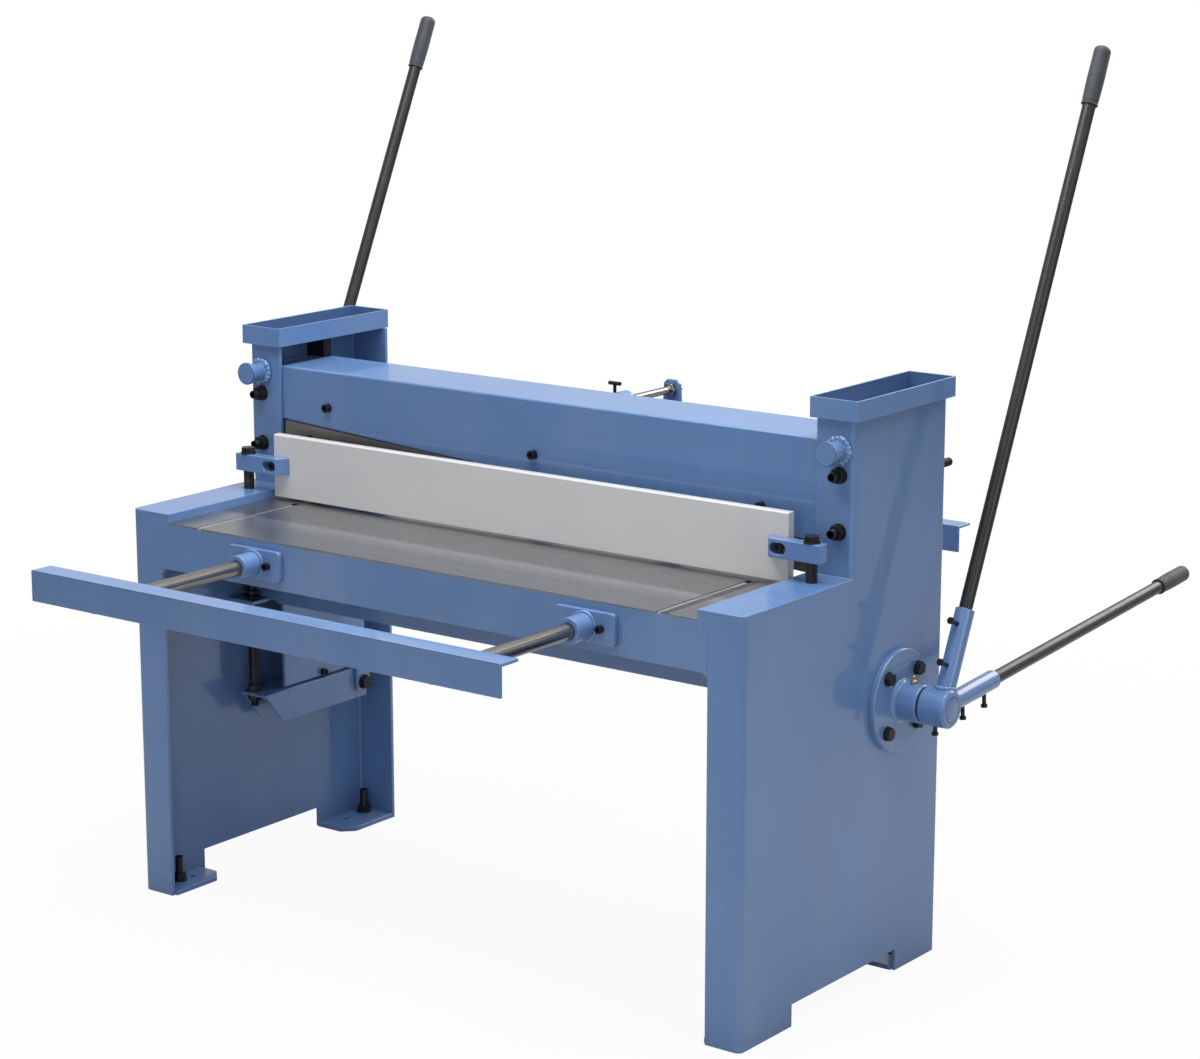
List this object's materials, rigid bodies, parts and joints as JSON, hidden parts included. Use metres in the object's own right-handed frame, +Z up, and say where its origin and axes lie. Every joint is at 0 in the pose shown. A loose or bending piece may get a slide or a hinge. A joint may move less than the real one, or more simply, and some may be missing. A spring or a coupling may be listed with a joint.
{
  "type": "sheet metal shear",
  "caption": "Hand-lever sheet metal shear: raked blade beam between two folded-sheet end frames, with hold-down bar, front support, back gauge and long levers",
  "frame": {"origin": "on the floor, at the centre of the four anchor holes of the feet", "axes": "X along the blades to the operator's right, Y from the operator through the machine to the back gauge, Z up"},
  "size_m": [1.744, 1.9661, 1.7494],
  "materials": {
    "blue_paint": "semi-gloss",
    "grey_paint": "semi-gloss",
    "ground_steel": "ground",
    "blade_steel": "hardened and ground",
    "black_steel": "black oxide",
    "bronze": "machined",
    "grip_rubber": "moulded"
  },
  "bodies": {
    "frame": {"left_end_frame": "blue_paint", "right_end_frame": "blue_paint", "foot_plates": "blue_paint", "levelling_bolts": "black_steel", "front_apron": "blue_paint", "table_plate": "ground_steel", "bed_plate": "blue_paint", "inner_plates": "blue_paint", "lower_blade": "blade_steel", "lower_blade_screws": "black_steel", "tool_trays": "blue_paint", "lifting_pins": "blue_paint", "gib_strips": "bronze", "gib_screws": "black_steel", "rear_guide_rails": "black_steel", "rear_jack_bolts": "black_steel", "bearing_flanges": "blue_paint", "bearing_bolts": "black_steel", "grease_nipples": "bronze", "bronze_bushes": "bronze", "spring_brackets": "blue_paint", "arm_brackets": "blue_paint", "arm_pivot_bolts": "black_steel", "arm_stop_bolts": "black_steel", "support_sockets": "blue_paint", "socket_screws": "black_steel", "presser_springs": "black_steel", "lifting_springs": "black_steel"},
    "lever_shaft": {"cross_shaft": "ground_steel", "crank_arms": "black_steel", "crank_rollers": "bronze", "thrust_washers": "black_steel", "lever_hubs": "blue_paint", "front_lever_tubes": "black_steel", "rear_lever_tubes": "black_steel", "front_lever_grips": "grip_rubber", "rear_lever_grips": "grip_rubber", "lever_set_screws": "black_steel"},
    "beam": {"blade_beam": "blue_paint", "blade_carrier": "blade_steel", "upper_blade": "blade_steel", "beam_face_bolts": "black_steel", "blade_screws": "black_steel", "beam_end_guides": "blue_paint", "pull_rods": "ground_steel", "pull_rod_nuts": "black_steel", "crosshead_forks": "ground_steel", "gauge_guide_rods": "ground_steel"},
    "hold_down": {"hold_down_bar": "grey_paint", "clamp_brackets": "blue_paint", "bracket_screws": "black_steel", "hold_down_rods": "black_steel", "hold_down_rod_nuts": "black_steel"},
    "hold_down_levers": {"hold_down_arms": "blue_paint"},
    "front_support": {"support_rods": "ground_steel", "support_angle": "blue_paint"},
    "back_gauge": {"gauge_angle": "blue_paint", "gauge_hangers": "blue_paint", "gauge_lock_rod": "ground_steel"},
    "gauge_lock": {"gauge_lock_screw": "black_steel"}
  },
  "joints": [
    {"name": "lever_turn", "type": "hinge", "parent": "frame", "child": "lever_shaft", "pos_m": [0, 0.175, 0.548], "axis": [1, 0, 0], "range_deg": [0, 85]},
    {"name": "beam_slide", "type": "slide", "parent": "frame", "child": "beam", "axis": [0, 0, -1], "range_m": [0, 0.0995], "stiffness_N_per_m": 9000, "springref_m": -0.16, "deforming": ["presser_springs"]},
    {"name": "hold_down_slide", "type": "slide", "parent": "frame", "child": "hold_down", "axis": [0, 0, -1], "range_m": [0, 0.0045], "stiffness_N_per_m": 20000, "springref_m": -0.02, "deforming": ["lifting_springs"]},
    {"name": "arm_swing", "type": "hinge", "parent": "frame", "child": "hold_down_levers", "pos_m": [0, 0.232, 0.34], "axis": [1, 0, 0], "range_deg": [0, 0.92]},
    {"name": "support_slide", "type": "slide", "parent": "frame", "child": "front_support", "axis": [0, 1, 0], "range_m": [-0.1, 0.17]},
    {"name": "gauge_slide", "type": "slide", "parent": "beam", "child": "back_gauge", "axis": [0, 1, 0], "range_m": [-0.13, 0.085]},
    {"name": "gauge_lock_turn", "type": "hinge", "parent": "beam", "child": "gauge_lock", "pos_m": [0, 0.29, 1.04], "axis": [0, 0, 1], "range_deg": [0, 180]}
  ],
  "couplings": [
    {"joint": "beam_slide", "follows": "lever_turn", "m_per_rad": 0.06705},
    {"joint": "hold_down_slide", "follows": "lever_turn", "m_per_rad": 0.003033},
    {"joint": "arm_swing", "follows": "lever_turn", "ratio": 0.010757}
  ]
}
